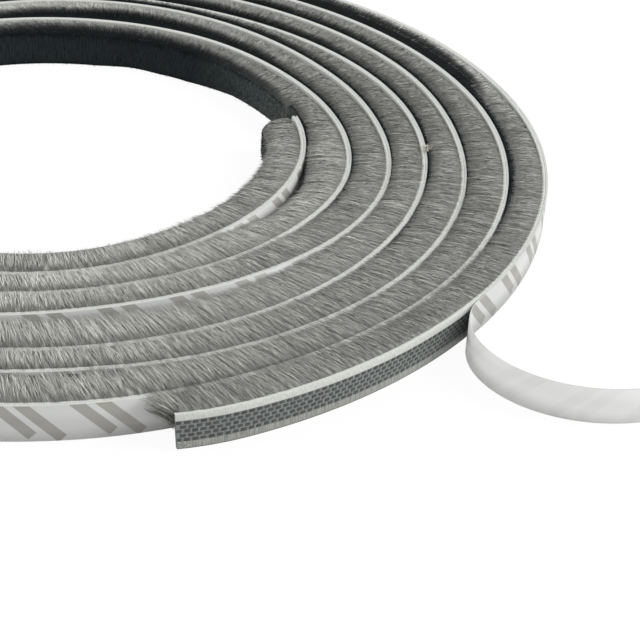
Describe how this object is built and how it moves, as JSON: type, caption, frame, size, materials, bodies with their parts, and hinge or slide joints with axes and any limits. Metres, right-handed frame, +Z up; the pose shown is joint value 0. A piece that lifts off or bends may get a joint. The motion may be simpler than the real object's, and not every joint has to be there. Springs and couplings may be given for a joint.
{
  "type": "brush seal strip",
  "caption": "Self-adhesive brush weatherstrip in a loose flat coil: woven backing with a dense pile on one face and a release liner, partly peeled off, on the other.",
  "frame": {"origin": "under the middle of the part's plan, on the surface that the coil lies on", "axes": "+X towards the peeled liner's side, along the longest extent; -Y towards the side with the cut outer end; +Z up, square to the plane of the coil"},
  "size_m": [0.3019, 0.2622, 0.0103],
  "materials": {
    "woven_backing": "flat woven polypropylene tape, pale grey with white selvedges, under a clear adhesive coat",
    "brush_pile": "dense grey polypropylene fibre pile, matt, darker at the tips",
    "release_liner": "smooth white release paper with faint grey marks"
  },
  "bodies": {
    "root": {"woven_backing": "woven_backing", "brush_pile": "brush_pile", "release_liner": "release_liner"}
  },
  "joints": []
}
